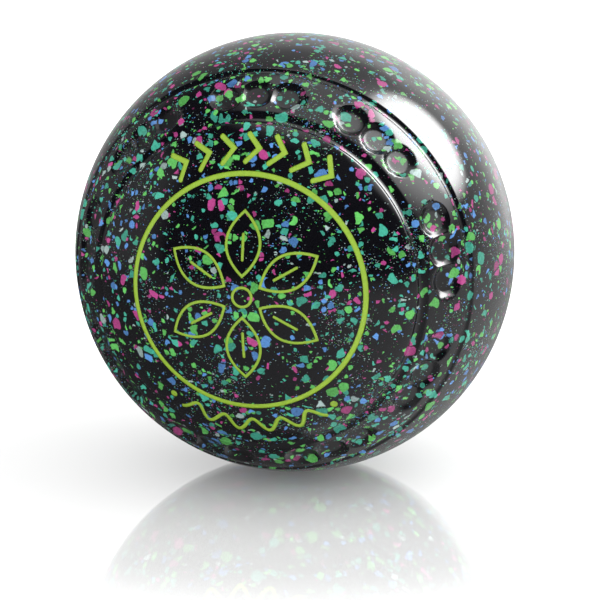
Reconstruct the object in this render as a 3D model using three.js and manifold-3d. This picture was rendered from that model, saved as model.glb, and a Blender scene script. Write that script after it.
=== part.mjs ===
// A lawn bowl of running size 3: one solid pressed bowl with two turned grooves and a belt of
// finger dimples on each side, and coloured enamel set into every engraved figure.
//
// Millimetres. The bowl is built on the bench with its running axis along Z and its large-ring
// side up. The last lines turn it onto its running sole: +Z up, the large-ring side facing -Y.
import * as THREE from "three";
import { mergeVertices } from "three/addons/utils/BufferGeometryUtils.js";
import Module from "manifold-3d";

// Body
const RUNNING_DIAMETER = 124;
const RUNNING_RADIUS = RUNNING_DIAMETER / 2;
const SHOULDER_RADIUS = 0.6 * RUNNING_RADIUS;
const DOME_START = 48; // degrees from the axis at which the shoulder gives way to the side's dome
const LARGE_RING_SIDE = { crownHalfAngle: 24 }; // degrees of running sole on this side of the crown
const BIAS_SIDE = { crownHalfAngle: 29 }; // the wider sole leaves more weight on the bias side
const TURNS = 36; // facets round the axis, a multiple of 4
const PROFILE_STEP = 10; // degrees

// Turned grooves, placed by the angle between the surface there and the axis
const INNER_GROOVE = { angle: 41.8, width: 3.5, depth: 0.8 };
const OUTER_GROOVE = { angle: 62.3, width: 2.8, depth: 0.7 };
const GROOVES = [INNER_GROOVE, OUTER_GROOVE];

// Finger dimples: shallow flat-bottomed cups in threes between the grooves
const DIMPLE = { angle: 49, floorRadius: 3.2, depth: 1.5, wallSlope: 37, sides: 8 };
const DIMPLE_GROUPS = 9;
const DIMPLES_IN_GROUP = 3;
const DIMPLE_SPACING = 9.5; // degrees round the axis
const FIRST_GROUP = -2; // degrees round the axis, clockwise from the top

// Engraving and the enamel in it
const ENGRAVING_DEPTH = 0.9;
const ENAMEL_GAP = 0.2;
const STROKE = 1.4;
const FINE_STROKE = 0.8;
const FIGURE_TURN = 0.7; // degrees round the axis, which keeps every line off the facets' edges

// What is engraved on each side
const LARGE_RING_FIGURES = {
  name: "front",
  ringRadius: 31.7,
  petals: { count: 6, from: 5.6, to: 22.5, halfWidth: 4.6 },
  veins: { from: 9.5, to: 17 },
  hubRadius: 2.6,
  chevrons: { count: 7, radius: 37.9, spacing: 10.5 },
  wave: { radius: 37.9, halfSpan: 31, humps: 5 },
};
const BIAS_FIGURES = {
  name: "back",
  ringRadius: 21.5,
  petals: { count: 6, from: 6.6, to: 17, halfWidth: 3.4 },
  numeralHeight: 6.4,
  chevrons: { count: 5, radius: 29.5, spacing: 15 },
  wave: { radius: 29.5, halfSpan: 32, humps: 4 },
};
const CHEVRON = { height: 7.6, depth: 3.8 };
const WAVE = { height: 3.8, width: 1.1, dotRadius: 1 };

const wasm = await Module();
wasm.setup();
const { degToRad } = THREE.MathUtils;

// ---- Between three.js meshes and solids -------------------------------------------------------

function toSolid(geometry) {
  geometry.deleteAttribute("normal");
  geometry.deleteAttribute("uv");
  const merged = mergeVertices(geometry, 1e-4);
  const vertProperties = merged.attributes.position.array;
  const triVerts = new Uint32Array(merged.index.array);
  return new wasm.Manifold(new wasm.Mesh({ numProp: 3, vertProperties, triVerts }));
}

function toGeometry(solid) {
  const { vertProperties, triVerts } = solid.getMesh();
  const geometry = new THREE.BufferGeometry();
  geometry.setAttribute("position", new THREE.BufferAttribute(vertProperties, 3));
  geometry.setIndex(new THREE.BufferAttribute(triVerts, 1));
  geometry.computeVertexNormals();
  return geometry;
}

// ---- The bowl's profile -----------------------------------------------------------------------

// One side's profile is three arcs that run into each other: the crown (the running sole) about
// the bowl's centre, a tighter shoulder, and a flatter dome whose centre is on the axis.
function arcAt(side, angle) {
  if (angle >= 90 - side.crownHalfAngle) return { out: 0, up: 0, radius: RUNNING_RADIUS };
  const join = degToRad(90 - side.crownHalfAngle);
  const shoulder = {
    out: (RUNNING_RADIUS - SHOULDER_RADIUS) * Math.sin(join),
    up: (RUNNING_RADIUS - SHOULDER_RADIUS) * Math.cos(join),
    radius: SHOULDER_RADIUS,
  };
  if (angle >= DOME_START) return shoulder;
  const start = degToRad(DOME_START);
  const radius = shoulder.radius + shoulder.out / Math.sin(start);
  const up = shoulder.up + (shoulder.radius - radius) * Math.cos(start);
  return { out: 0, up, radius };
}

// A point on the profile, or inset below it: x is its distance from the axis and y its height.
function profilePoint(side, angle, inset) {
  const arc = arcAt(side, angle);
  const lean = degToRad(angle);
  const radius = arc.radius - inset;
  return new THREE.Vector2(arc.out + radius * Math.sin(lean), arc.up + radius * Math.cos(lean));
}

// How far across a groove an angle lies: -1 and 1 are its two edges.
function acrossGroove(side, groove, angle) {
  const arc = degToRad(angle - groove.angle) * arcAt(side, groove.angle).radius;
  return arc / (groove.width / 2);
}

function grooveDepth(side, angle) {
  let depth = 0;
  for (const groove of GROOVES) {
    const across = acrossGroove(side, groove, angle);
    depth = Math.max(depth, groove.depth * (1 - across * across));
  }
  return depth;
}

function profileAngles(side) {
  const angles = [];
  for (let angle = 0; angle <= 90; angle += PROFILE_STEP) {
    if (GROOVES.every((groove) => Math.abs(acrossGroove(side, groove, angle)) > 1)) angles.push(angle);
  }
  for (const groove of GROOVES) {
    const halfAngle = THREE.MathUtils.radToDeg(groove.width / 2 / arcAt(side, groove.angle).radius);
    for (const across of [-1, -0.5, 0, 0.5, 1]) angles.push(groove.angle + across * halfAngle);
  }
  return angles.sort((a, b) => a - b);
}

// The whole body of revolution, from the bias side's pole up to the large-ring side's.
function revolved(inset, grooved) {
  const half = (side) =>
    profileAngles(side).map((angle) =>
      profilePoint(side, angle, grooved ? grooveDepth(side, angle) : inset),
    );
  const lower = half(BIAS_SIDE).map((point) => new THREE.Vector2(point.x, -point.y));
  const upper = half(LARGE_RING_SIDE).reverse().slice(1);
  const profile = [...lower, ...upper];
  profile[0].x = 0;
  profile[profile.length - 1].x = 0;
  return toSolid(new THREE.LatheGeometry(profile, TURNS).rotateX(Math.PI / 2));
}

// ---- Finger dimples ---------------------------------------------------------------------------

function dimpleCutter(side, turn) {
  const reach = 2; // the cutter stands this far out of the surface
  const height = DIMPLE.depth + reach;
  const mouthRadius = DIMPLE.floorRadius + height / Math.tan(degToRad(DIMPLE.wallSlope));
  const cutter = new THREE.CylinderGeometry(mouthRadius, DIMPLE.floorRadius, height, DIMPLE.sides);
  const floor = profilePoint(side, DIMPLE.angle, DIMPLE.depth);
  cutter.translate(0, height / 2, 0);
  cutter.rotateX(Math.PI / 2 - degToRad(DIMPLE.angle));
  cutter.translate(0, floor.x, floor.y);
  return cutter.rotateZ(-degToRad(turn));
}

function dimpleCutters(side) {
  const cutters = [];
  for (let group = 0; group < DIMPLE_GROUPS; group++) {
    for (let i = 0; i < DIMPLES_IN_GROUP; i++) {
      const step = i - (DIMPLES_IN_GROUP - 1) / 2;
      const turn = FIRST_GROUP + (group * 360) / DIMPLE_GROUPS + step * DIMPLE_SPACING;
      cutters.push(dimpleCutter(side, turn));
    }
  }
  return cutters;
}

// ---- Engraved figures, drawn flat as seen from outside their side -----------------------------

// A point at a distance from the axis, turned clockwise from the top.
function polar(radius, turn) {
  const angle = degToRad(turn);
  return new THREE.Vector2(radius * Math.sin(angle), radius * Math.cos(angle));
}

// One edge of a stroke: the path moved sideways, with mitred corners.
function strokeEdge(path, offset, closed) {
  const last = path.length - 1;
  return path.map((point, i) => {
    const before = path[i > 0 ? i - 1 : closed ? last : 0];
    const after = path[i < last ? i + 1 : closed ? 0 : last];
    const along = point.clone().sub(before).normalize();
    const onward = after.clone().sub(point).normalize();
    const mean = along.clone().add(onward).normalize();
    const corner = Math.max(mean.dot(onward), mean.dot(along));
    return new THREE.Vector2(-mean.y, mean.x).multiplyScalar(offset / corner).add(point);
  });
}

// The round end of an open stroke, from its left edge round to its right edge.
function roundEnd(point, inner, width) {
  const heading = point.clone().sub(inner).angle();
  return [60, 30, 0, -30, -60].map((turn) => {
    const angle = heading + degToRad(turn);
    return new THREE.Vector2(Math.cos(angle), Math.sin(angle)).multiplyScalar(width / 2).add(point);
  });
}

function strokeShape(path, width, closed) {
  if (closed) {
    const loop = THREE.ShapeUtils.isClockWise(path) ? [...path].reverse() : path;
    const shape = new THREE.Shape(strokeEdge(loop, -width / 2, true));
    shape.holes.push(new THREE.Path(strokeEdge(loop, width / 2, true)));
    return shape;
  }
  const left = strokeEdge(path, width / 2, false);
  const right = strokeEdge(path, -width / 2, false);
  const end = path.length - 1;
  return new THREE.Shape([
    ...left,
    ...roundEnd(path[end], path[end - 1], width),
    ...right.reverse(),
    ...roundEnd(path[0], path[1], width),
  ]);
}

function circlePath(radius, points) {
  return Array.from({ length: points }, (_, i) => polar(radius, ((i + 0.5) * 360) / points));
}

// A pointed leaf outline that reaches from one distance from the axis to another.
function petalPath(petals, turn) {
  const steps = 5;
  const out = [];
  const back = [];
  for (let i = 0; i <= steps; i++) {
    const t = i / steps;
    const along = petals.from + (petals.to - petals.from) * t;
    const across = petals.halfWidth * 4 * t * (1 - t);
    out.push(new THREE.Vector2(across, along));
    if (i > 0 && i < steps) back.unshift(new THREE.Vector2(-across, along));
  }
  const centre = new THREE.Vector2();
  return [...out, ...back].map((point) => point.rotateAround(centre, -degToRad(turn)));
}

function chevronPath(radius, turn) {
  const tip = new THREE.Vector2(CHEVRON.depth / 2, radius);
  const heel = -CHEVRON.depth / 2;
  const centre = new THREE.Vector2();
  return [
    new THREE.Vector2(heel, radius + CHEVRON.height / 2),
    tip,
    new THREE.Vector2(heel, radius - CHEVRON.height / 2),
  ].map((point) => point.rotateAround(centre, -degToRad(turn)));
}

// A line of even humps along the bottom of the side.
function wavePath(wave) {
  const stepsPerHump = 6;
  const steps = wave.humps * stepsPerHump;
  return Array.from({ length: steps + 1 }, (_, i) => {
    const t = i / steps;
    const rise = (WAVE.height / 2) * Math.cos(t * wave.humps * 2 * Math.PI);
    return polar(wave.radius + rise, 180 + wave.halfSpan * (1 - 2 * t));
  });
}

// The figure 3, of an upper and a lower bowl joined by a short upright.
function numeralPath(height) {
  const radius = height / 4;
  const bowl = (centreY, from, to) =>
    Array.from({ length: 7 }, (_, i) => {
      const angle = degToRad(from + ((to - from) * i) / 6);
      return new THREE.Vector2(radius * Math.cos(angle), centreY + radius * Math.sin(angle));
    });
  return [...bowl(radius, 150, -60), ...bowl(-radius, 60, -150)];
}

// Every figure on one side: its node's name, its middle line and the width of its enamel.
function figuresOf(side) {
  const figures = [];
  const add = (name, path, width, closed) =>
    figures.push({ name: `${name}_${side.name}`, path, width, closed });

  add("ring_enamel", circlePath(side.ringRadius, TURNS), STROKE, true);
  for (let i = 0; i < side.petals.count; i++) {
    const turn = (i * 360) / side.petals.count;
    add(`petal_enamel_${i + 1}`, petalPath(side.petals, turn), FINE_STROKE, true);
    if (side.veins) {
      const vein = [polar(side.veins.from, turn), polar(side.veins.to, turn)];
      add(`vein_enamel_${i + 1}`, vein, FINE_STROKE, false);
    }
  }
  if (side.hubRadius) add("hub_enamel", circlePath(side.hubRadius, TURNS / 4), FINE_STROKE, true);
  if (side.numeralHeight) {
    add("size_numeral_enamel", numeralPath(side.numeralHeight), FINE_STROKE, false);
  }
  for (let i = 0; i < side.chevrons.count; i++) {
    const turn = (i - (side.chevrons.count - 1) / 2) * side.chevrons.spacing;
    add(`chevron_enamel_${i + 1}`, chevronPath(side.chevrons.radius, turn), STROKE, false);
  }
  add("wave_enamel", wavePath(side.wave), WAVE.width, false);
  for (const [end, sign] of [["left", 1], ["right", -1]]) {
    const turn = 180 + sign * (side.wave.halfSpan + 5);
    const start = polar(side.wave.radius, turn - 0.4);
    const stop = polar(side.wave.radius, turn + 0.4);
    add(`wave_dot_enamel_${end}`, [start, stop], 2 * WAVE.dotRadius, false);
  }
  return figures;
}

// A figure as a prism that stands out of the bowl's middle through its side.
function prism(figure, width) {
  const shape = strokeShape(figure.path, width, figure.closed);
  const options = { depth: RUNNING_RADIUS, bevelEnabled: false, steps: 1 };
  return new THREE.ExtrudeGeometry(shape, options).rotateZ(-degToRad(FIGURE_TURN));
}

// ---- Cutting the bowl and its enamel ----------------------------------------------------------

const blank = revolved(0, false);
const engravingFloor = revolved(ENGRAVING_DEPTH, false);
const enamelFloor = revolved(ENGRAVING_DEPTH - ENAMEL_GAP, false);
const sides = [
  { shape: LARGE_RING_SIDE, figures: LARGE_RING_FIGURES, turn: 0 },
  { shape: BIAS_SIDE, figures: BIAS_FIGURES, turn: Math.PI },
];

const bowl = new THREE.Group();
let body = revolved(0, true);

for (const side of sides) {
  for (const cutter of dimpleCutters(side.shape)) {
    body = body.subtract(toSolid(cutter.rotateY(side.turn)));
  }
  for (const figure of figuresOf(side.figures)) {
    const engraving = toSolid(prism(figure, figure.width + 2 * ENAMEL_GAP).rotateY(side.turn));
    body = body.subtract(engraving.subtract(engravingFloor));

    const column = toSolid(prism(figure, figure.width).rotateY(side.turn));
    const enamel = column.intersect(blank).subtract(enamelFloor);
    const material = new THREE.MeshStandardMaterial({ color: 0xa5d22d, roughness: 0.35, metalness: 0 });
    const mesh = new THREE.Mesh(toGeometry(enamel), material);
    mesh.name = figure.name;
    bowl.add(mesh);
  }
}

const resin = new THREE.MeshStandardMaterial({ color: 0x0a0b0e, roughness: 0.08, metalness: 0 });
const bodyMesh = new THREE.Mesh(toGeometry(body), resin);
bodyMesh.name = "bowl_body";
bowl.add(bodyMesh);

// Onto the running sole, with the axis level
bowl.rotation.x = Math.PI / 2;
bowl.position.z = RUNNING_RADIUS;

const lawnBowl = new THREE.Group();
lawnBowl.add(bowl);

export default lawnBowl;
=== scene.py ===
import math

import bmesh
import bpy
import numpy as np
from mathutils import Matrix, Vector


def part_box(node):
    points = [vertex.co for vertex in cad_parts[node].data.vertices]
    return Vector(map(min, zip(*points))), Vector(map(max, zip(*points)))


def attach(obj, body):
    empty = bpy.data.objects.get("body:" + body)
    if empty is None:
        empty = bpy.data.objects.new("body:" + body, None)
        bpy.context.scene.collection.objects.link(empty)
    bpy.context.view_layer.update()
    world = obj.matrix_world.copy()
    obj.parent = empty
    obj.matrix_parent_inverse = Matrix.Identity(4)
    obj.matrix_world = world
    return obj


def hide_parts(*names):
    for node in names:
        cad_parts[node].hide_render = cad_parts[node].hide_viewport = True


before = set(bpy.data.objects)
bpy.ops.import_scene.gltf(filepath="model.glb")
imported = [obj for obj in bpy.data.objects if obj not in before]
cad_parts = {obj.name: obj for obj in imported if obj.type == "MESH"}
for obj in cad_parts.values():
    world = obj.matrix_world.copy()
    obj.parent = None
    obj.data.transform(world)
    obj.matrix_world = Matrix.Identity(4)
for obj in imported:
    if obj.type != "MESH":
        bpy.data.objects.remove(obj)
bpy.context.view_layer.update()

MM = 0.001

# ---- Camera -----------------------------------------------------------------------------------
# A long lens a little above the bowl's centre, turned to the right of its running axis. It stands
# twelve radii off, where a round thing shows almost no perspective.
low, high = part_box("bowl_body")
RADIUS = (high.z - low.z) / 2
CENTRE = Vector((0, 0, RADIUS))
VIEW_AZIMUTH = math.radians(14.12)
VIEW_ELEVATION = math.radians(12.41)
VIEW_DISTANCE = 12 * RADIUS

camera = bpy.data.objects.new("camera", bpy.data.cameras.new("camera"))
bpy.context.scene.collection.objects.link(camera)
bpy.context.scene.camera = camera
towards_camera = Vector((
    math.sin(VIEW_AZIMUTH) * math.cos(VIEW_ELEVATION),
    -math.cos(VIEW_AZIMUTH) * math.cos(VIEW_ELEVATION),
    math.sin(VIEW_ELEVATION),
))
camera.location = CENTRE + towards_camera * VIEW_DISTANCE
camera.rotation_euler = towards_camera.to_track_quat("Z", "Y").to_euler()
camera.data.lens = 157.7
camera.data.sensor_width = 36
camera.data.shift_x = 0.0085
camera.data.shift_y = -0.08
camera.data.clip_start = 0.01


# ---- The bowl's shape -------------------------------------------------------------------------
# One solid moulding of black resin, turned to shape on a lathe. Each side is a running sole, wider
# on the bias side, a tighter shoulder and a flatter dome, with two round-bottomed grooves and,
# between them, a belt of flat-bottomed finger dimples in threes.
RING_SIDE, BIAS_SIDE = -1, 1
CROWN = {RING_SIDE: math.radians(24), BIAS_SIDE: math.radians(29)}
SHOULDER = 0.6 * RADIUS
DOME_START = math.radians(48)
# Angles are from the running axis, and a lip is how far an edge is rounded over.
INNER_GROOVE = {"angle": math.radians(41.8), "width": 3.5 * MM, "depth": 0.8 * MM, "lip": 0.18 * MM}
OUTER_GROOVE = {"angle": math.radians(62.3), "width": 2.8 * MM, "depth": 0.7 * MM, "lip": 0.10 * MM}
GROOVES = [INNER_GROOVE, OUTER_GROOVE]

DIMPLE_ANGLE = math.radians(49)
DIMPLE_FLOOR_RADIUS = 3.2 * MM
DIMPLE_DEPTH = 1.5 * MM
DIMPLE_SLOPE = math.tan(math.radians(37))
DIMPLE_SPACING = math.radians(9.5)
DIMPLE_GROUPS = 9
FIRST_GROUP = math.radians(-2)
DIMPLE_LIP = 0.10 * MM


def arcs(side):
    """Where the sole meets the shoulder, the shoulder's centre, and the dome's centre and radius."""
    join = math.pi / 2 - CROWN[side]
    out = (RADIUS - SHOULDER) * math.sin(join)
    up = (RADIUS - SHOULDER) * math.cos(join)
    dome = SHOULDER + out / math.sin(DOME_START)
    return join, out, up, up + (SHOULDER - dome) * math.cos(DOME_START), dome


def profile(side, lean, inset):
    """Distance from the axis, and height along it, where the surface leans so far from the axis."""
    join, out, up, dome_up, dome = arcs(side)
    zones = [lean >= join, lean >= DOME_START]
    centre_out = np.select(zones, [0.0, out], 0.0)
    centre_up = np.select(zones, [0.0, up], dome_up)
    radius = np.select(zones, [RADIUS, SHOULDER], dome) - inset
    return centre_out + radius * np.sin(lean), centre_up + radius * np.cos(lean)


def arc_radius(side, lean):
    """The profile's own radius where the surface leans so far from the axis."""
    join, _, _, _, dome = arcs(side)
    return RADIUS if lean >= join else SHOULDER if lean >= DOME_START else dome


def lean_at(side, out, up):
    """The inverse of profile: how far the surface leans beside a point."""
    join, shoulder_out, shoulder_up, dome_up, dome = arcs(side)
    crown = np.arctan2(out, up)
    on_dome = np.arctan2(out, up - dome_up)
    on_shoulder = np.arctan2(out - shoulder_out, up - shoulder_up)
    on_shoulder = np.clip(on_shoulder, DOME_START, join)
    return np.where(crown >= join, crown, np.where(on_dome < DOME_START, on_dome, on_shoulder))


def softly_above(depth, lip):
    """depth where it is above nothing, with a rounded lip."""
    return (depth + np.sqrt(depth * depth + lip * lip)) / 2


def in_group_of(turn):
    """How far round a turn is from the middle of the nearest group of dimples."""
    pitch = 2 * math.pi / DIMPLE_GROUPS
    return (turn - FIRST_GROUP + pitch / 2) % pitch - pitch / 2


def dimple_depth(side, lean, turn):
    """How far the nearest dimple goes below the turned surface, and less than nothing beside it."""
    in_group = in_group_of(turn)
    nearest = np.clip(np.round(in_group / DIMPLE_SPACING), -1, 1)
    aside = in_group - nearest * DIMPLE_SPACING
    out, up = profile(side, lean, 0.0)
    middle_out, middle_up = profile(side, np.array(DIMPLE_ANGLE), 0.0)
    along = np.stack([out * np.sin(aside), out * np.cos(aside) - middle_out, up - middle_up])
    normal = np.array([0, math.sin(DIMPLE_ANGLE), math.cos(DIMPLE_ANGLE)])
    sag = -np.tensordot(normal, along, 1)
    flat = along + normal[:, None] * sag
    reach = np.sqrt((flat * flat).sum(0))
    mouth = DIMPLE_FLOOR_RADIUS + DIMPLE_DEPTH / DIMPLE_SLOPE
    floor = np.full_like(reach, DIMPLE_DEPTH)
    wall = (mouth - reach) * DIMPLE_SLOPE
    dimple = (floor + wall - np.sqrt((floor - wall) ** 2 + (2 * DIMPLE_LIP) ** 2)) / 2 - sag
    return np.maximum(dimple, -DIMPLE_DEPTH)


def cut_depth(side, lean, turn):
    """How far the grooves and the dimples go below the turned surface."""
    deepest = softly_above(dimple_depth(side, lean, turn), DIMPLE_LIP)
    for groove in GROOVES:
        half_width = groove["width"] / 2
        across = (lean - groove["angle"]) * arc_radius(side, groove["angle"]) / half_width
        cut = np.maximum(groove["depth"] * (1 - across * across), -groove["depth"])
        deepest = np.maximum(deepest, softly_above(cut, groove["lip"]))
    return deepest


def on_bowl(side, lean, turn, inset):
    """Points below the turned surface, turn being clockwise from the top as seen from outside."""
    out, up = profile(side, lean, inset)
    return np.stack([-side * out * np.sin(turn), side * up, RADIUS + out * np.cos(turn)], -1)


def bowl_angles(points):
    """The side, lean and turn of points on the bowl."""
    side = np.where(points[:, 1] > 0, BIAS_SIDE, RING_SIDE)
    out = np.hypot(points[:, 0], points[:, 2] - RADIUS)
    turn = np.arctan2(-side * points[:, 0], points[:, 2] - RADIUS)
    lean = np.empty(len(points))
    for one in (RING_SIDE, BIAS_SIDE):
        here = side == one
        lean[here] = lean_at(one, out[here], np.abs(points[here, 1]))
    return side, lean, turn


SLOPE_STEP = 0.0008  # radians each way, to measure the surface's slope
NEAR_AXIS = 2 * MM  # where a step round the axis stops getting wider


def finished_surface(points):
    """Where the cut and polished surface lies beside each point, and the way it faces."""
    side, lean, turn = bowl_angles(points)
    place = np.empty_like(points)
    facing = np.empty_like(points)
    for one in (RING_SIDE, BIAS_SIDE):
        here = side == one
        leans = np.clip(lean[here], 2 * SLOPE_STEP, None)
        turns = turn[here]
        spread = SLOPE_STEP * RADIUS / np.maximum(profile(one, leans, 0.0)[0], NEAR_AXIS)

        def at(lean_now, turn_now):
            return on_bowl(one, lean_now, turn_now, cut_depth(one, lean_now, turn_now))

        down = at(leans + SLOPE_STEP, turns) - at(leans - SLOPE_STEP, turns)
        around = at(leans, turns + spread) - at(leans, turns - spread)
        normal = np.cross(around, down)
        normal /= np.linalg.norm(normal, axis=1)[:, None]
        outward = on_bowl(one, leans, turns, 0.0) - np.array(CENTRE)
        normal *= np.sign((normal * outward).sum(1))[:, None]
        facing[here] = normal
        place[here] = at(lean[here], turns)
    return place, facing


PROFILE_POINTS = 46  # on each side's profile, before the grooves' own are added
GROOVE_POINTS = 15
GROOVE_REACH = 1.2  # how far the grooves' points go from their middles, in half widths
PROFILE_CLEARANCE = 1.25  # where the profile's other points stop, in half widths
COLUMNS = 168  # round the axis


def profile_leans(side):
    """Angles for the turned profile, close together across the grooves."""
    leans = set(np.linspace(0, math.pi / 2, PROFILE_POINTS))
    for groove in GROOVES:
        angle = groove["angle"]
        half = groove["width"] / 2 / arc_radius(side, angle)
        leans = {lean for lean in leans if abs(lean - angle) > PROFILE_CLEARANCE * half}
        leans |= set(angle + half * np.linspace(-GROOVE_REACH, GROOVE_REACH, GROOVE_POINTS))
    return sorted(leans)


blank = bmesh.new()
rows = []
for side in (RING_SIDE, BIAS_SIDE):
    for lean in profile_leans(side):
        out, up = profile(side, np.array(lean), 0.0)
        rows.append((side * float(up), float(out)))
rows = sorted(set((round(y, 7), round(z, 7)) for y, z in rows))
ring = [blank.verts.new((0, y, RADIUS + z)) for y, z in rows]
edges = [blank.edges.new(pair) for pair in zip(ring, ring[1:])]
bmesh.ops.spin(
    blank, geom=ring + edges, cent=CENTRE, axis=(0, 1, 0), dvec=(0, 0, 0),
    angle=2 * math.pi, steps=COLUMNS, use_merge=True, use_duplicate=False,
)
bmesh.ops.remove_doubles(blank, verts=blank.verts[:], dist=0.01 * MM)
bmesh.ops.recalc_face_normals(blank, faces=blank.faces[:])


BELT_START, BELT_END = math.radians(43), math.radians(57)
GROUP_REACH = 1.6 * DIMPLE_SPACING  # from the middle of a group to past its outer dimples' walls


def refine(mesh, times, wanted):
    """Halves the edges of the faces whose centres are wanted, so many times over."""
    for _ in range(times):
        centres = np.array([face.calc_center_median() for face in mesh.faces])
        chosen = wanted(centres)
        faces = [face for face, yes in zip(mesh.faces[:], chosen) if yes]
        cut = list({edge for face in faces for edge in face.edges})
        bmesh.ops.subdivide_edges(mesh, edges=cut, cuts=1, use_grid_fill=True)


def near_dimples(centres):
    """Which points are in the belt of dimples, and not in the plain stretches between groups."""
    side, lean, turn = bowl_angles(centres)
    belt = (lean > BELT_START) & (lean < BELT_END)
    return belt & (np.abs(in_group_of(turn)) < GROUP_REACH)


refine(blank, 2, near_dimples)


# ---- The engraved figures -----------------------------------------------------------------------
# Each figure is routed into the sides with a fine cutter, then filled with lime enamel that dries
# a little below the surface. They are drawn flat, x to the right and y up, as seen from outside.
STROKE = 1.4 * MM
FINE_STROKE = 0.8 * MM
WAVE_STROKE = 1.1 * MM
ENGRAVING_DEPTH = 0.5 * MM
CUTTER_ABOVE = 0.6 * MM  # how far the cutter stands out of the surface
ENAMEL_RECESS = 0.10 * MM
ENAMEL_SINK = 0.07 * MM  # how much lower the enamel has shrunk down the middle of a stroke
ENAMEL_SLOPE = 0.26  # how far in from its edge it sinks, in stroke widths
ENAMEL_CLEARANCE = 0.02 * MM  # under it, so that it doesn't share the routed floor

RING_POINTS, HUB_POINTS, DOT_POINTS = 160, 36, 16
PETALS, PETAL_STEPS = 6, 22
VEIN_START, VEIN_END, VEIN_STEPS = 9.5 * MM, 17 * MM, 5
HUB_RADIUS = 2.6 * MM
NUMERAL_HEIGHT, NUMERAL_STEPS = 6.4 * MM, 14
CHEVRON_HEIGHT, CHEVRON_DEPTH = 7.6 * MM, 3.8 * MM
WAVE_HEIGHT, HUMP_STEPS = 3.8 * MM, 18
DOT_RADIUS, DOT_STROKE = 0.5 * MM, 1.0 * MM
DOT_SPACING = math.radians(5)  # from the end of the wave

# Each side's own sizes. border is how far from the axis its chevrons and wave lie.
FRONT = {
    "name": "front", "ring": 31.7 * MM, "border": 37.9 * MM,
    "petal_start": 5.6 * MM, "petal_end": 22.5 * MM, "petal_half_width": 4.6 * MM,
    "chevrons": 7, "chevron_spacing": math.radians(10.5),
    "wave_half_span": math.radians(31), "humps": 5,
}
BACK = {
    "name": "back", "ring": 21.5 * MM, "border": 29.5 * MM,
    "petal_start": 6.6 * MM, "petal_end": 17 * MM, "petal_half_width": 3.4 * MM,
    "chevrons": 5, "chevron_spacing": math.radians(15),
    "wave_half_span": math.radians(32), "humps": 4,
}


def polar(radius, turn):
    return Vector((radius * math.sin(turn), radius * math.cos(turn)))


def circle_path(radius, points):
    return [polar(radius, 2 * math.pi * i / points) for i in range(points)]


def turned(point, turn):
    return Vector((
        point[0] * math.cos(turn) + point[1] * math.sin(turn),
        point[1] * math.cos(turn) - point[0] * math.sin(turn),
    ))


def petal_path(sizes, turn):
    """A pointed leaf, pointing away from the axis."""
    start, length = sizes["petal_start"], sizes["petal_end"] - sizes["petal_start"]
    right = [
        (sizes["petal_half_width"] * 4 * t * (1 - t), start + length * t)
        for t in (i / PETAL_STEPS for i in range(PETAL_STEPS + 1))
    ]
    left = [(-x, y) for x, y in reversed(right[1:-1])]
    return [turned(point, turn) for point in right + left]


def vein_path(turn):
    step = (VEIN_END - VEIN_START) / VEIN_STEPS
    return [polar(VEIN_START + step * i, turn) for i in range(VEIN_STEPS + 1)]


def chevron_path(radius, turn):
    half_height, half_depth = CHEVRON_HEIGHT / 2, CHEVRON_DEPTH / 2
    corners = [(-half_depth, half_height), (half_depth, 0), (-half_depth, -half_height)]
    return [turned((x, radius + y), turn) for x, y in corners]


def wave_path(sizes):
    """A line of even humps along the bottom of the side."""
    steps = sizes["humps"] * HUMP_STEPS
    path = []
    for i in range(steps + 1):
        t = i / steps
        height = WAVE_HEIGHT / 2 * math.cos(2 * math.pi * sizes["humps"] * t)
        turn = math.pi + sizes["wave_half_span"] * (1 - 2 * t)
        path.append(polar(sizes["border"] + height, turn))
    return path


def numeral_path():
    """The figure 3, of an upper and a lower bowl joined by a short upright."""
    radius = NUMERAL_HEIGHT / 4
    path = []
    for middle, start, stop in ((radius, 150, -60), (-radius, 60, -150)):
        for i in range(NUMERAL_STEPS + 1):
            angle = math.radians(start + (stop - start) * i / NUMERAL_STEPS)
            path.append(Vector((radius * math.cos(angle), middle + radius * math.sin(angle))))
    return path


def dot_path(radius, turn):
    middle = polar(radius, turn)
    return [middle + offset for offset in circle_path(DOT_RADIUS, DOT_POINTS)]


def stroke_edge(path, offset, closed):
    """One edge of a stroke: its path moved sideways, with mitred corners."""
    edge = []
    for i, point in enumerate(path):
        before = path[i - 1] if i or closed else point
        after = path[(i + 1) % len(path)] if i + 1 < len(path) or closed else point
        along = (point - before).normalized()
        onward = (after - point).normalized()
        mean = (along + onward).normalized()
        corner = max(mean.dot(along), mean.dot(onward))
        edge.append(point + Vector((-mean.y, mean.x)) * offset / corner)
    return edge


ROUND_END = 0.49  # of a stroke's width, so that an end's two rounded corners just don't meet


def flat_stroke(path, width, closed):
    """A flat strip of even width along a path, round at its ends."""
    strip = bmesh.new()
    left = [strip.verts.new((*point, 0)) for point in stroke_edge(path, width / 2, closed)]
    links = [strip.edges.new(pair) for pair in zip(left, left[1:])]
    if closed:
        links.append(strip.edges.new((left[-1], left[0])))
    made = bmesh.ops.extrude_edge_only(strip, edges=links)["geom"]
    across = {item for item in made if isinstance(item, bmesh.types.BMVert)}
    right = []
    for vert, point in zip(left, stroke_edge(path, -width / 2, closed)):
        facing = next(edge.other_vert(vert) for edge in vert.link_edges if across & {*edge.verts})
        facing.co = (*point, 0)
        right.append(facing)
    if not closed:
        bmesh.ops.bevel(
            strip, geom=[left[0], right[0], left[-1], right[-1]], affect="VERTICES",
            offset=width * ROUND_END, segments=5, profile=0.5, material=-1,
        )
        bmesh.ops.remove_doubles(strip, verts=strip.verts[:], dist=0.02 * MM)
    bmesh.ops.recalc_face_normals(strip, faces=strip.faces[:])
    if sum(face.normal.z for face in strip.faces) < 0:
        bmesh.ops.reverse_faces(strip, faces=strip.faces[:])
    return strip


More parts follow.
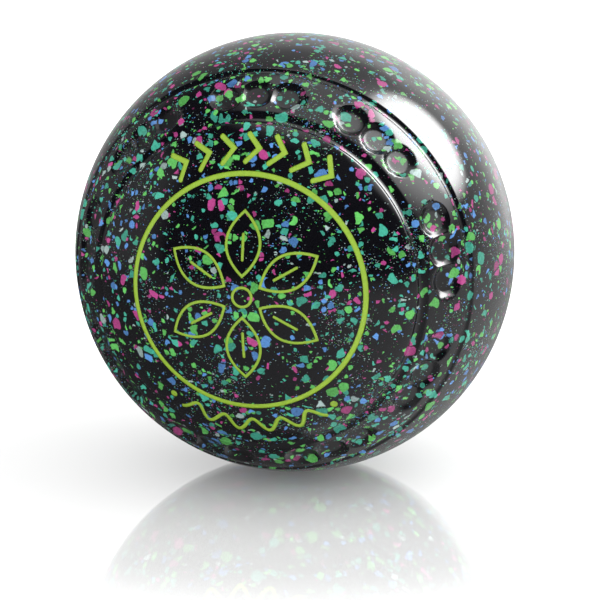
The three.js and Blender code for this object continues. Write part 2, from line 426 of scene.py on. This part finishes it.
def slab(path, width, closed, top, bottom):
    """A stroke as a solid. Its z is the depth below the bowl's surface until it is laid on it."""
    solid = flat_stroke(path, width, closed)
    upper = solid.faces[:]
    made = bmesh.ops.extrude_face_region(solid, geom=upper, use_keep_orig=True)
    lower = [item for item in made["geom"] if isinstance(item, bmesh.types.BMVert)]
    bmesh.ops.translate(solid, verts=lower, vec=(0, 0, bottom - top))
    bmesh.ops.translate(solid, verts=solid.verts[:], vec=(0, 0, top))
    bmesh.ops.recalc_face_normals(solid, faces=solid.faces[:])
    return solid


def lay_on_bowl(solid, side):
    """Moves a drawn solid to its place on one side: z is its depth below the surface."""
    dome = arcs(side)[4]
    for vert in solid.verts:
        out = math.hypot(vert.co.x, vert.co.y)
        lean = np.array(math.asin(out / dome))
        turn = math.atan2(vert.co.x, vert.co.y)
        vert.co = on_bowl(side, lean, np.array(turn), vert.co.z)
    bmesh.ops.recalc_face_normals(solid, faces=solid.faces[:])
    if solid.calc_volume(signed=True) < 0:
        bmesh.ops.reverse_faces(solid, faces=solid.faces[:])


def figures(side):
    """(node name, path, width, closed) of each figure on a side."""
    sizes = FRONT if side == RING_SIDE else BACK
    border = sizes["border"]
    found = [("ring_enamel", circle_path(sizes["ring"], RING_POINTS), STROKE, True)]
    for i in range(PETALS):
        turn = 2 * math.pi * i / PETALS
        found.append((f"petal_enamel_{i + 1}", petal_path(sizes, turn), FINE_STROKE, True))
        if side == RING_SIDE:
            found.append((f"vein_enamel_{i + 1}", vein_path(turn), FINE_STROKE, False))
    if side == RING_SIDE:
        found.append(("hub_enamel", circle_path(HUB_RADIUS, HUB_POINTS), FINE_STROKE, True))
    else:
        found.append(("size_numeral_enamel", numeral_path(), FINE_STROKE, False))
    for i in range(sizes["chevrons"]):
        turn = (i - (sizes["chevrons"] - 1) / 2) * sizes["chevron_spacing"]
        found.append((f"chevron_enamel_{i + 1}", chevron_path(border, turn), STROKE, False))
    found.append(("wave_enamel", wave_path(sizes), WAVE_STROKE, False))
    for where, way in (("left", 1), ("right", -1)):
        turn = math.pi + way * (sizes["wave_half_span"] + DOT_SPACING)
        found.append((f"wave_dot_enamel_{where}", dot_path(border, turn), DOT_STROKE, True))
    return [(f"{name}_{sizes['name']}", *rest) for name, *rest in found]


def piece_from(mesh, name):
    """A finished bmesh as an object of the scene."""
    data = bpy.data.meshes.new(name)
    mesh.to_mesh(data)
    mesh.free()
    piece = bpy.data.objects.new(name, data)
    bpy.context.scene.collection.objects.link(piece)
    return piece


cutters = bmesh.new()
enamels = []
for side in (RING_SIDE, BIAS_SIDE):
    for node, path, width, closed in figures(side):
        cutter = slab(path, width, closed, -CUTTER_ABOVE, ENGRAVING_DEPTH)
        lay_on_bowl(cutter, side)
        data = bpy.data.meshes.new("cutter")
        cutter.to_mesh(data)
        cutter.free()
        cutters.from_mesh(data)
        bpy.data.meshes.remove(data)

        floor_depth = ENGRAVING_DEPTH - ENAMEL_CLEARANCE
        fill = slab(path, width, closed, ENAMEL_RECESS, floor_depth)
        just_under = ENAMEL_RECESS * 1.01
        top = [face for face in fill.faces if face.calc_center_median().z < just_under]
        bmesh.ops.inset_region(
            fill, faces=top, thickness=ENAMEL_SLOPE * width, use_even_offset=True,
            use_boundary=True,
        )
        inner = {vert for face in top for vert in face.verts}
        for vert in inner:
            vert.co.z += ENAMEL_SINK
        lay_on_bowl(fill, side)
        for face in fill.faces:
            face.smooth = True
        piece = piece_from(fill, node.replace("enamel", "lime_enamel"))
        enamels.append((piece, node))


# ---- The bowl, cut and polished -----------------------------------------------------------------
# The grooves are turned and the dimples milled by moving the blank's surface down to them, and the
# figures are routed by taking the strokes out of it. Then the bowl is polished all over on a mop,
# which rounds the lips of the grooves and dimples but leaves the routed walls sharp.
points = np.array([vert.co for vert in blank.verts])
places, _ = finished_surface(points)
for vert, place in zip(blank.verts, places):
    vert.co = place
bowl = piece_from(blank, "polished_bowl")
cutter_piece = piece_from(cutters, "router_strokes")
routing = bowl.modifiers.new("routing", "BOOLEAN")
routing.operation = "DIFFERENCE"
routing.solver = "MANIFOLD"
routing.object = cutter_piece
graph = bpy.context.evaluated_depsgraph_get()
routed = bpy.data.meshes.new_from_object(bowl.evaluated_get(graph))
bowl.modifiers.clear()
bowl.data = routed
routed.name = "polished_bowl"
bpy.data.objects.remove(cutter_piece)


ON_SURFACE = 0.06 * MM  # nearer than this to the turned surface, a point is on it
ALIKE = 0.7  # the cosine between two directions that count as the same


def polish(mesh):
    """Shades the turned surface by its true curve, and leaves the routed walls flat."""
    count = len(mesh.loops)
    vertices = np.empty(len(mesh.vertices) * 3)
    mesh.vertices.foreach_get("co", vertices)
    vertices = vertices.reshape(-1, 3)
    loop_vertex = np.empty(count, int)
    mesh.loops.foreach_get("vertex_index", loop_vertex)
    totals = np.empty(len(mesh.polygons), int)
    mesh.polygons.foreach_get("loop_total", totals)
    flat = np.empty(len(mesh.polygons) * 3)
    mesh.polygons.foreach_get("normal", flat)
    flat = np.repeat(flat.reshape(-1, 3), totals, axis=0)
    places, facings = finished_surface(vertices)
    off = np.linalg.norm(vertices - places, axis=1)[loop_vertex]
    facing = facings[loop_vertex]
    polished = (off < ON_SURFACE) & ((facing * flat).sum(1) > ALIKE)
    mesh.shade_smooth()
    mesh.normals_split_custom_set(np.where(polished[:, None], facing, flat))


def frost(mesh):
    """Marks how far each point is down in a dimple, where the polishing mop doesn't reach."""
    points = np.array([vert.co for vert in mesh.vertices])
    side, lean, turn = bowl_angles(points)
    depth = np.empty(len(points))
    for one in (RING_SIDE, BIAS_SIDE):
        here = side == one
        depth[here] = dimple_depth(one, lean[here], turn[here])
    marks = mesh.attributes.new("frosted", "FLOAT", "POINT")
    marks.data.foreach_set("value", np.clip(depth / DIMPLE_DEPTH, 0, 1) ** 2)


polish(bowl.data)
frost(bowl.data)

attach(bowl, "root")
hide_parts("bowl_body")


class Wire:
    """What comes out of a node, so that an expression on it adds Math nodes."""

    def __init__(self, shader, socket):
        self.shader = shader
        self.socket = socket

    def __add__(self, other):
        return self.shader.math("ADD", self, other)

    def __sub__(self, other):
        return self.shader.math("SUBTRACT", self, other)

    def __rsub__(self, other):
        return self.shader.math("SUBTRACT", other, self)

    def __mul__(self, other):
        return self.shader.math("MULTIPLY", self, other)

    def __lt__(self, other):
        return self.shader.math("LESS_THAN", self, other)

    __radd__ = __add__
    __rmul__ = __mul__


class Shader:
    """The nodes of a material, or of the world, and the one way that nodes are added to it."""

    def __init__(self, owner, coordinates="Object"):
        owner.use_nodes = True
        self.owner = owner
        self.tree = owner.node_tree
        self.tree.nodes.clear()
        self.place = self.add("ShaderNodeTexCoord", {})[coordinates]

    def add(self, kind, settings, *values, **named):
        """Adds a node, gives it its settings, then its values or links, and returns its outputs."""
        node = self.tree.nodes.new(kind)
        for name, setting in settings.items():
            if name == "stops":
                ramp = node.color_ramp
                while len(ramp.elements) < len(setting):
                    ramp.elements.new(1.0)
                for element, (position, colour) in zip(ramp.elements, setting):
                    element.position = position
                    element.color = (*colour, 1.0)
            elif name == "blending":
                node.color_ramp.interpolation = setting
            else:
                setattr(node, name, setting)
        for key, value in [*enumerate(values), *named.items()]:
            if isinstance(key, str):
                key = key.replace("_", " ")
            socket = node.inputs[key]
            if isinstance(value, Wire):
                self.tree.links.new(value.socket, socket)
            elif value is not None:
                socket.default_value = value
        return Outputs(self, node)

    def math(self, operation, *values):
        return self.add("ShaderNodeMath", {"operation": operation}, *values)[0]

    def vector(self, operation, *values, **named):
        return self.add("ShaderNodeVectorMath", {"operation": operation}, *values, **named)[0]

    def mix(self, factor, first, second):
        """One colour over another. A Mix node's colours come after the sockets of its other kinds."""
        colours = [
            colour if isinstance(colour, Wire) else (*colour, 1.0) for colour in (first, second)
        ]
        return self.add("ShaderNodeMix", {"data_type": "RGBA"}, factor, *[None] * 5, *colours)[2]

    def finish(self, surface, *pieces):
        """Ends a material with its surface, and puts it on pieces."""
        self.add("ShaderNodeOutputMaterial", {}, Surface=surface)
        for piece in pieces:
            piece.data.materials.clear()
            piece.data.materials.append(self.owner)


class Outputs:
    """A node's outputs, by name or by number."""

    def __init__(self, shader, node):
        self.shader = shader
        self.node = node

    def __getitem__(self, key):
        return Wire(self.shader, self.node.outputs[key])


# Black resin moulded with chips of coloured resin. The chips are crushed, so they are blunt and
# uneven, of many sizes, and run all through the moulding, with drifts of pale dust between them.
BLACK_RESIN = (0.0024, 0.0024, 0.0036)
TEAL = (0.043, 0.320, 0.228)
GREEN = (0.096, 0.415, 0.090)
BLUE = (0.075, 0.215, 0.500)
PINK = (0.350, 0.042, 0.185)
PALE = (0.290, 0.386, 0.370)
CHIP_COLOURS = [(0.0, TEAL), (0.32, GREEN), (0.60, BLUE), (0.78, PINK), (0.94, PALE)]
DUST_COLOURS = [(0.0, PALE), (0.42, TEAL), (0.62, GREEN), (0.76, BLUE), (0.90, PINK)]
DUST, GRIT, SMALL, MIDDLING, LARGE = 0.36 * MM, 0.8 * MM, 1.4 * MM, 2.1 * MM, 3.2 * MM
CHIP_REACH = 0.58  # from a chip's middle to its farthest corner, as a share of its size
BREAK, BREAK_AWAY = 2.0 * MM, 0.9 * MM  # how long a chip's uneven edges are, and how deep
CHIP_OFF, CHIP_OFF_AWAY = 0.5 * MM, 0.3 * MM  # the same of the small nicks in them
FLATTENED = (1.0, 1.0, 1.7)  # dust and grit are pressed flat in the mould
DRIFT, LEAST_DUST, MOST_DUST = 15 * MM, 0.02, 0.20
CROWD, LEAST_CROWD, MOST_CROWD = 6 * MM, 0.65, 1.55
GAP, MORE_GAP = 0.02, 0.10  # between a chip and its cell's edge, and how much more it may be
MOTTLE = 0.45 * MM
SHADE, SHADE_BY_CHIP, SHADE_BY_MOTTLE = 0.07, 0.5, 0.9
POLISHED = 0.05  # roughness
DULLED_BY_HANDLING, DULLER_CHIPS, FROSTED_FLOORS = 0.08, 0.07, 0.3

resin = Shader(bpy.data.materials.new("speckled_resin"))


def noise(shader, place, size, detail=2.0, rough=0.5):
    return shader.add(
        "ShaderNodeTexNoise", {"noise_dimensions": "3D"},
        Vector=place, Scale=1 / size, Detail=detail, Roughness=rough,
    )


def moved(shader, place, by):
    """The same place a given way off, so that no two patterns match."""
    return shader.vector("ADD", place, by)


def ragged(shader, place, size, amount):
    """Places pushed about by noise, which gives broken edges."""
    push = shader.vector("SUBTRACT", noise(shader, place, size, 1.0)["Color"], (0.5, 0.5, 0.5))
    return moved(shader, place, shader.vector("SCALE", push, Scale=amount))


def ranged(shader, value, start, stop, low=0.0, high=1.0, easing="LINEAR"):
    """A value's place between start and stop, as a place between low and high."""
    return shader.add(
        "ShaderNodeMapRange", {"clamp": True, "interpolation_type": easing}, value,
        From_Min=start, From_Max=stop, To_Min=low, To_Max=high,
    )[0]


def chips(shader, place, size, share, colours, softness, below):
    """Lays chips over a colour. share is how many of the crushed cells hold a chip. below, and
    what it gives back, are a colour and how much of it is chip."""
    cell, edge = (
        shader.add(
            "ShaderNodeTexVoronoi", {"voronoi_dimensions": "3D", "feature": feature},
            Vector=place, Scale=1 / size, Randomness=1.0,
        )
        for feature in ("F1", "DISTANCE_TO_EDGE")
    )
    lot = shader.add("ShaderNodeSeparateColor", {}, cell["Color"])
    past_gap = edge["Distance"] - (lot["Blue"] * MORE_GAP + GAP)
    inside = (lot["Red"] < share) * ranged(shader, past_gap, 0.0, softness)
    inside = inside * ranged(shader, cell["Distance"], CHIP_REACH, CHIP_REACH - softness)
    tint = shader.add(
        "ShaderNodeValToRGB", {"stops": colours, "blending": "CONSTANT"}, lot["Green"]
    )["Color"]
    mottle = noise(shader, place, MOTTLE, 3.0)["Fac"]
    shade = lot["Blue"] * SHADE_BY_CHIP + mottle * SHADE_BY_MOTTLE + SHADE
    tint = shader.vector("SCALE", tint, Scale=shade)
    colour, cover = below
    return shader.mix(inside, colour, tint), shader.math("MAXIMUM", cover, inside)


# Dust and grit lie in drifts, and chips crowd together in places. The mop polishes the chips a
# little less than the resin round them, and misses the dimples' floors.
broken = ragged(resin, ragged(resin, resin.place, BREAK, BREAK_AWAY), CHIP_OFF, CHIP_OFF_AWAY)
flattened = resin.vector("MULTIPLY", broken, FLATTENED)
drift = noise(resin, moved(resin, resin.place, (0.02, 0.0, 0.01)), DRIFT, 3.0, 0.6)["Fac"]
dusty = ranged(resin, drift, 0.48, 0.66, LEAST_DUST, MOST_DUST)
gathering = noise(resin, resin.place, CROWD, 2.0)["Fac"]
crowd = ranged(resin, gathering, 0.35, 0.65, LEAST_CROWD, MOST_CROWD)
gritty = dusty * 0.3 + crowd * 0.02
laid = (BLACK_RESIN, 0.0)
for place, size, share, colours, softness in (
    (flattened, DUST, dusty, DUST_COLOURS, 0.12),
    (moved(resin, flattened, (0, 0.27, 0)), GRIT, gritty, CHIP_COLOURS, 0.08),
    (moved(resin, broken, (0.11, 0, 0)), SMALL, crowd * 0.11, CHIP_COLOURS, 0.08),
    (moved(resin, broken, (0, 0, 0.23)), MIDDLING, crowd * 0.175, CHIP_COLOURS, 0.07),
    (moved(resin, broken, (0.17, 0.19, 0)), LARGE, crowd * 0.16, CHIP_COLOURS, 0.05),
):
    laid = chips(resin, place, size, share, colours, softness, laid)
colour, chipped = laid

frosted = resin.add("ShaderNodeAttribute", {"attribute_name": "frosted"})["Fac"]
handling = noise(resin, resin.place, 9 * MM, 4.0, 0.6)["Fac"]
dulling = handling * DULLED_BY_HANDLING + chipped * DULLER_CHIPS + frosted * FROSTED_FLOORS
swirls = noise(resin, resin.place, 0.9 * MM, 2.0)["Fac"]
bump = resin.add("ShaderNodeBump", {}, Strength=0.05, Distance=0.02 * MM, Height=swirls)["Normal"]
gloss = resin.add(
    "ShaderNodeBsdfPrincipled", {},
    Base_Color=colour, Roughness=dulling + POLISHED, IOR=1.5, Normal=bump,
)["BSDF"]
resin.finish(gloss, bowl)


# ---- The enamel ---------------------------------------------------------------------------------
# Lime enamel run into the routed figures by hand and wiped off the surface. It shrinks as it
# dries, so it lies a little below the surface, uneven in colour and with a fine ripple in its skin.
LIME = (0.264, 0.415, 0.026)
LIME_DEEP = (0.180, 0.312, 0.020)
SATIN, UNEVEN_SATIN = 0.28, 0.15  # roughness, and how much more it may be
enamel = Shader(bpy.data.materials.new("lime_enamel"))
streaks = noise(enamel, enamel.place, 1.1 * MM, 3.0, 0.6)["Fac"]
lime = enamel.mix(streaks, LIME_DEEP, LIME)
skin = noise(enamel, enamel.place, 0.35 * MM, 2.0)["Fac"]
ripple = enamel.add("ShaderNodeBump", {}, Strength=0.2, Distance=0.05 * MM, Height=skin)["Normal"]
paint = enamel.add(
    "ShaderNodeBsdfPrincipled", {},
    Base_Color=lime, Roughness=skin * UNEVEN_SATIN + SATIN, Normal=ripple,
)["BSDF"]
enamel.finish(paint, *(piece for piece, _ in enamels))
for piece, node in enamels:
    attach(piece, "root")
    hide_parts(node)


# ---- Floor and light ------------------------------------------------------------------------------
# A wide matt white table, polished enough where the bowl stands to mirror it. The studio's own
# light is painted on its walls: white all round, dark behind the camera, and one large soft box
# high on the right. The backdrop behind the bowl is plain white.
TABLE_HALF_WIDTH = 6
TABLE_WHITE = (0.9, 0.9, 0.9, 1)
TABLE_GLOW = 0.15
MIRROR_SHARE = 0.48
MIRROR_FADES, MIRROR_ENDS = 90 * MM, 180 * MM  # from where the bowl touches the table
WHITE = (1, 1, 1, 1)

table_mesh = bmesh.new()
bmesh.ops.create_grid(table_mesh, x_segments=1, y_segments=1, size=TABLE_HALF_WIDTH)
table = piece_from(table_mesh, "white_table")
# The table is left out of reflections. Its reflection in the bowl is a painted reflection, drawn on
# the studio's walls below the horizon.
table.visible_glossy = False
top = Shader(bpy.data.materials.new("white_table"))
reach = top.add("ShaderNodeVectorMath", {"operation": "LENGTH"}, top.place)["Value"]
shine = ranged(top, reach, MIRROR_FADES, MIRROR_ENDS, MIRROR_SHARE, 0.0, "SMOOTHSTEP")
matt = top.add(
    "ShaderNodeBsdfPrincipled", {},
    Base_Color=TABLE_WHITE, Roughness=1.0, Specular_IOR_Level=0.0,
    Emission_Color=WHITE, Emission_Strength=TABLE_GLOW,
)["BSDF"]
mirror = top.add("ShaderNodeBsdfGlossy", {}, Color=WHITE, Roughness=0.0)[0]
top.finish(top.add("ShaderNodeMixShader", {}, shine, matt, mirror)[0], table)

# Directions are degrees to the right of the camera, all the way round, and degrees above the table.
SOFT_BOX = {"azimuth": 108, "height": 38, "outer": 25, "inner": 16}
HALO = {"azimuth": 84, "height": 42, "outer": 34, "inner": 12}
SOFT_BOX_STRENGTH, HALO_STRENGTH = 14.0, 5.0
ROOM_ON_MATT, HALO_ON_MATT = 1.6, 1.4  # what matt surfaces get of the room and of the halo
HORIZON = (-15.0, -1.0)  # where the painted reflection of the table gives way to the walls
WALL_TOPS = (27.0, 42.0)
CEILING_EDGE = (56.0, 74.0)
CEILING, CEILING_TILT = 1.5, 6.0  # its brightness, and how many degrees lower it is on the right
BACKDROP = 1.0

world = bpy.data.worlds.new("studio")
bpy.context.scene.world = world
studio = Shader(world, "Generated")


def along(azimuth, height):
    """How far the line of sight goes in a direction."""
    turn, rise = VIEW_AZIMUTH + math.radians(azimuth), math.radians(height)
    direction = (
        math.sin(turn) * math.cos(rise), -math.cos(turn) * math.cos(rise), math.sin(rise)
    )
    return studio.add(
        "ShaderNodeVectorMath", {"operation": "DOT_PRODUCT"}, studio.place, direction
    )["Value"]


def patch(azimuth, height, outer, inner):
    """A round light: 1 within inner degrees of its middle, and 0 past outer degrees."""
    rim, core = math.cos(math.radians(outer)), math.cos(math.radians(inner))
    return ranged(studio, along(azimuth, height), rim, core, easing="SMOOTHSTEP")


def by_azimuth(*stops):
    """Brightness that changes with the direction along the table. A ramp only holds up to 1, so
    it is halved in the ramp and doubled after it."""
    marks = [((azimuth + 180) / 360, (level / 2,) * 3) for azimuth, level in stops]
    return studio.add("ShaderNodeValToRGB", {"stops": marks}, around)["Color"] * 2.0


def gives_way(below, above, height, edge):
    """One brightness below an edge and another above it, with a soft step between."""
    return below + (above - below) * ranged(studio, height, *edge, easing="SMOOTHSTEP")


def glow(strength):
    return studio.add("ShaderNodeBackground", {}, Color=WHITE, Strength=strength)[0]


around = studio.math("ARCTAN2", along(90, 0), along(0, 0)) * (0.5 / math.pi) + 0.5
height = studio.math("ARCSINE", along(0, 90)) * (180 / math.pi)
# Below the horizon, and seen only in reflections, is a painted reflection of the table: brightest
# under the soft box on the right, darkest on the left and at the far side.
painted_table_reflection = by_azimuth(
    (-180, 0.15), (-140, 0.10), (-90, 0.16), (-60, 0.28), (0, 0.40), (40, 0.65), (70, 0.95),
    (110, 0.90), (150, 0.60), (180, 0.15),
)
walls = by_azimuth(
    (-180, 0.80), (-160, 0.35), (-145, 0.20), (-100, 0.40), (-82, 0.45), (-68, 0.01), (52, 0.02),
    (66, 0.40), (100, 0.50), (130, 1.00), (152, 1.80), (180, 0.80),
)
upper = by_azimuth(
    (-180, 0.50), (-150, 0.20), (-125, 0.02), (-60, 0.01), (-20, 0.03), (35, 0.12), (55, 0.60),
    (85, 1.60), (130, 1.80), (150, 0.70), (180, 0.50),
)
room = gives_way(painted_table_reflection, walls, height, HORIZON)
room = gives_way(room, upper, height, WALL_TOPS)
room = gives_way(room, CEILING, height + along(90, 0) * CEILING_TILT, CEILING_EDGE)
soft_box, halo = patch(**SOFT_BOX), patch(**HALO)
reflected = glow(room + soft_box * SOFT_BOX_STRENGTH + halo * HALO_STRENGTH)
shed = glow(halo * HALO_ON_MATT + ROOM_ON_MATT)
ray = studio.add("ShaderNodeLightPath", {})
light = studio.add("ShaderNodeMixShader", {}, ray["Is Glossy Ray"], shed, reflected)[0]
light = studio.add("ShaderNodeMixShader", {}, ray["Is Camera Ray"], light, glow(BACKDROP))[0]
studio.add("ShaderNodeOutputWorld", {}, Surface=light)

bpy.context.scene.view_settings.view_transform = "Standard"
